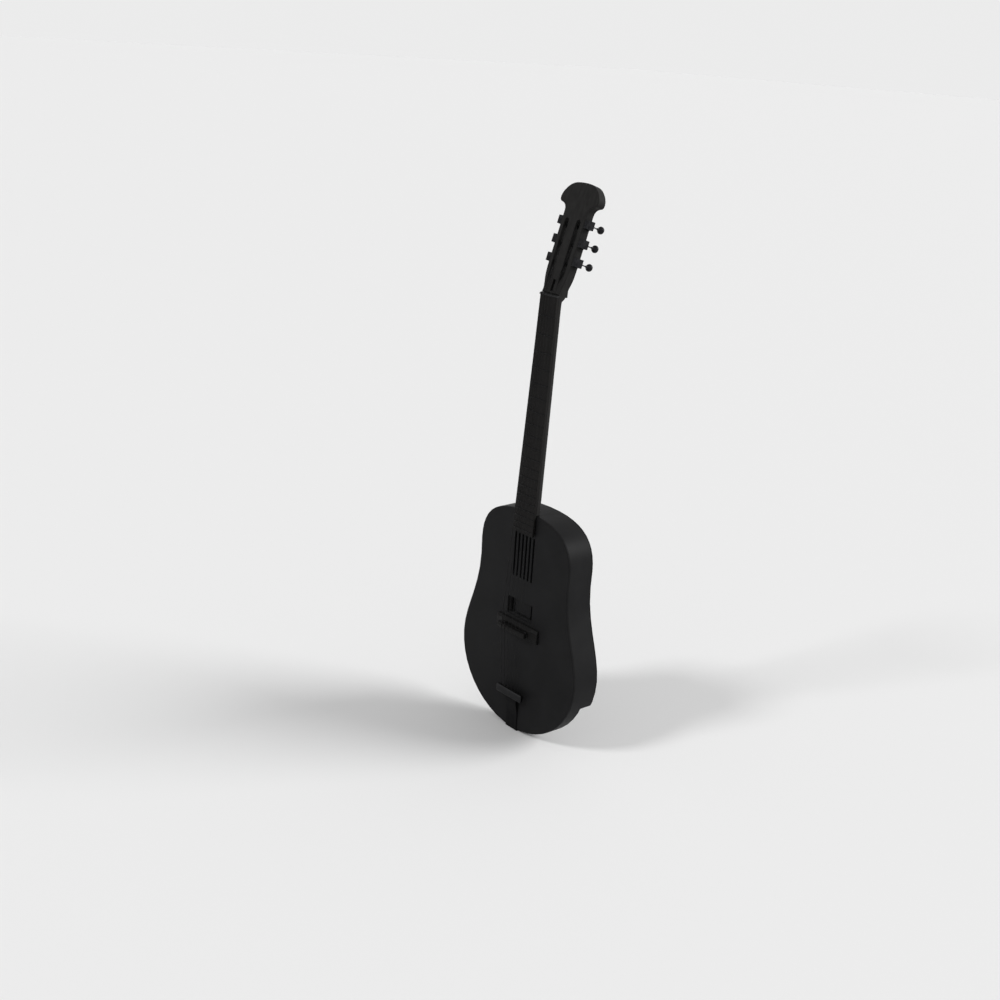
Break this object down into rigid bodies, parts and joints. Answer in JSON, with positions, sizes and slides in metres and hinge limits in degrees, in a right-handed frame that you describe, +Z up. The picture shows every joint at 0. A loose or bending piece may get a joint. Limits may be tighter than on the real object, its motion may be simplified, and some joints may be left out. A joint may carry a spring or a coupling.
{
  "type": "semi-hollow electric guitar",
  "caption": "Compact black semi-hollow electric guitar with slotted crowned head, geared tuners, sunk pickup, raised bridge bar and strap tailpiece.",
  "frame": {"origin": "centre of the box's underside, where the tailpiece strap meets the floor", "axes": "+Z up along the strings to the headstock, -Y out of the soundboard towards the player's audience, +X to the viewer's right"},
  "size_m": [0.32, 0.122, 1.0303],
  "materials": {
    "black_lacquer": "black satin lacquer",
    "black_neck": "black stained, satin",
    "fingerboard": "oiled, matt",
    "block_wood": "unfinished inner wood",
    "nut_black": "black, polished",
    "black_metal": "satin black",
    "dark_steel": "blackened",
    "pickup_black": "black",
    "bobbin": "black coil former",
    "foam": "grey foam"
  },
  "bodies": {
    "guitar": {"soundboard": "black_lacquer", "rim": "black_lacquer", "upper_back": "black_lacquer", "tail_back": "black_lacquer", "tail_ledge": "black_lacquer", "centre_block": "block_wood", "tail_block": "block_wood", "neck_block": "block_wood", "neck": "black_neck", "fingerboard": "fingerboard", "nut": "nut_black", "truss_rod": "dark_steel", "bridge_base": "black_lacquer", "tailpiece_bracket": "black_metal", "tailpiece_bar": "dark_steel", "output_jack": "dark_steel", "jack_nut": "dark_steel", "strap_button_tail": "black_metal", "strap_button_neck": "black_metal", "pickup_foam": "foam", "string_1": "dark_steel", "string_2": "dark_steel", "string_3": "dark_steel", "string_4": "dark_steel", "string_5": "dark_steel", "string_6": "dark_steel", "tuner_1_frame": "black_metal", "tuner_2_frame": "black_metal", "tuner_3_frame": "black_metal", "tuner_4_frame": "black_metal", "tuner_5_frame": "black_metal", "tuner_6_frame": "black_metal"},
    "saddle": {"bridge_saddle": "black_metal"},
    "bridge_post_left": {"bridge_post_left": "dark_steel"},
    "bridge_post_right": {"bridge_post_right": "dark_steel"},
    "pickup": {"pickup_cover": "pickup_black", "pickup_bobbin": "bobbin", "pickup_baseplate": "dark_steel"},
    "pickup_screw_left": {"pickup_screw_left": "dark_steel"},
    "pickup_screw_right": {"pickup_screw_right": "dark_steel"},
    "truss_rod_nut": {"truss_rod_nut": "dark_steel"},
    "roller_1": {"tuner_1_roller": "dark_steel"},
    "button_1": {"tuner_1_worm": "dark_steel", "tuner_1_button": "black_metal"},
    "roller_2": {"tuner_2_roller": "dark_steel"},
    "button_2": {"tuner_2_worm": "dark_steel", "tuner_2_button": "black_metal"},
    "roller_3": {"tuner_3_roller": "dark_steel"},
    "button_3": {"tuner_3_worm": "dark_steel", "tuner_3_button": "black_metal"},
    "roller_4": {"tuner_4_roller": "dark_steel"},
    "button_4": {"tuner_4_worm": "dark_steel", "tuner_4_button": "black_metal"},
    "roller_5": {"tuner_5_roller": "dark_steel"},
    "button_5": {"tuner_5_worm": "dark_steel", "tuner_5_button": "black_metal"},
    "roller_6": {"tuner_6_roller": "dark_steel"},
    "button_6": {"tuner_6_worm": "dark_steel", "tuner_6_button": "black_metal"}
  },
  "joints": [
    {"name": "bridge_height", "type": "slide", "parent": "guitar", "child": "saddle", "axis": [0, 1, 0], "range_m": [0, 0.0015]},
    {"name": "post_turn_left", "type": "hinge", "parent": "saddle", "child": "bridge_post_left", "pos_m": [-0.031, -0.03823, 0.2103], "axis": [0, 1, 0], "range_deg": [0, 772]},
    {"name": "post_turn_right", "type": "hinge", "parent": "saddle", "child": "bridge_post_right", "pos_m": [0.031, -0.03823, 0.2103], "axis": [0, 1, 0], "range_deg": [0, 772]},
    {"name": "pickup_height", "type": "slide", "parent": "guitar", "child": "pickup", "axis": [0, -1, 0], "range_m": [0, 0.0035]},
    {"name": "pickup_screw_turn_left", "type": "hinge", "parent": "pickup", "child": "pickup_screw_left", "pos_m": [-0.0272, -0.03823, 0.2478], "axis": [0, -1, 0], "range_deg": [0, 1801]},
    {"name": "pickup_screw_turn_right", "type": "hinge", "parent": "pickup", "child": "pickup_screw_right", "pos_m": [0.0272, -0.03823, 0.2478], "axis": [0, -1, 0], "range_deg": [0, 1801]},
    {"name": "truss_rod_turn", "type": "hinge", "parent": "guitar", "child": "truss_rod_nut", "pos_m": [0, -0.01226, 0.84871], "axis": [0, 0.0488, 0.9988], "range_deg": [-180, 180]},
    {"name": "button_turn_1", "type": "hinge", "parent": "guitar", "child": "button_1", "pos_m": [0.03355, 0.00641, 0.89774], "axis": [0, 0.9521, -0.3057], "continuous": true},
    {"name": "roller_turn_1", "type": "hinge", "parent": "guitar", "child": "roller_1", "pos_m": [0.02875, 0.00479, 0.89269], "axis": [1, 0, 0], "continuous": true},
    {"name": "button_turn_2", "type": "hinge", "parent": "guitar", "child": "button_2", "pos_m": [0.03355, 0.01666, 0.92963], "axis": [0, 0.9521, -0.3057], "continuous": true},
    {"name": "roller_turn_2", "type": "hinge", "parent": "guitar", "child": "roller_2", "pos_m": [0.02875, 0.01504, 0.92459], "axis": [1, 0, 0], "continuous": true},
    {"name": "button_turn_3", "type": "hinge", "parent": "guitar", "child": "button_3", "pos_m": [0.03355, 0.0269, 0.96153], "axis": [0, 0.9521, -0.3057], "continuous": true},
    {"name": "roller_turn_3", "type": "hinge", "parent": "guitar", "child": "roller_3", "pos_m": [0.02875, 0.02528, 0.95649], "axis": [1, 0, 0], "continuous": true},
    {"name": "button_turn_4", "type": "hinge", "parent": "guitar", "child": "button_4", "pos_m": [-0.03355, 0.0269, 0.96153], "axis": [0, 0.9521, -0.3057], "continuous": true},
    {"name": "roller_turn_4", "type": "hinge", "parent": "guitar", "child": "roller_4", "pos_m": [-0.02875, 0.02528, 0.95649], "axis": [1, 0, 0], "continuous": true},
    {"name": "button_turn_5", "type": "hinge", "parent": "guitar", "child": "button_5", "pos_m": [-0.03355, 0.01666, 0.92963], "axis": [0, 0.9521, -0.3057], "continuous": true},
    {"name": "roller_turn_5", "type": "hinge", "parent": "guitar", "child": "roller_5", "pos_m": [-0.02875, 0.01504, 0.92459], "axis": [1, 0, 0], "continuous": true},
    {"name": "button_turn_6", "type": "hinge", "parent": "guitar", "child": "button_6", "pos_m": [-0.03355, 0.00641, 0.89774], "axis": [0, 0.9521, -0.3057], "continuous": true},
    {"name": "roller_turn_6", "type": "hinge", "parent": "guitar", "child": "roller_6", "pos_m": [-0.02875, 0.00479, 0.89269], "axis": [1, 0, 0], "continuous": true}
  ],
  "couplings": [
    {"joint": "post_turn_left", "follows": "bridge_height", "rad_per_m": 8976},
    {"joint": "post_turn_right", "follows": "bridge_height", "rad_per_m": 8976},
    {"joint": "pickup_screw_turn_left", "follows": "pickup_height", "rad_per_m": 8976},
    {"joint": "pickup_screw_turn_right", "follows": "pickup_height", "rad_per_m": 8976},
    {"joint": "roller_turn_1", "follows": "button_turn_1", "ratio": 0.071429},
    {"joint": "roller_turn_2", "follows": "button_turn_2", "ratio": 0.071429},
    {"joint": "roller_turn_3", "follows": "button_turn_3", "ratio": 0.071429},
    {"joint": "roller_turn_4", "follows": "button_turn_4", "ratio": -0.071429},
    {"joint": "roller_turn_5", "follows": "button_turn_5", "ratio": -0.071429},
    {"joint": "roller_turn_6", "follows": "button_turn_6", "ratio": -0.071429}
  ]
}
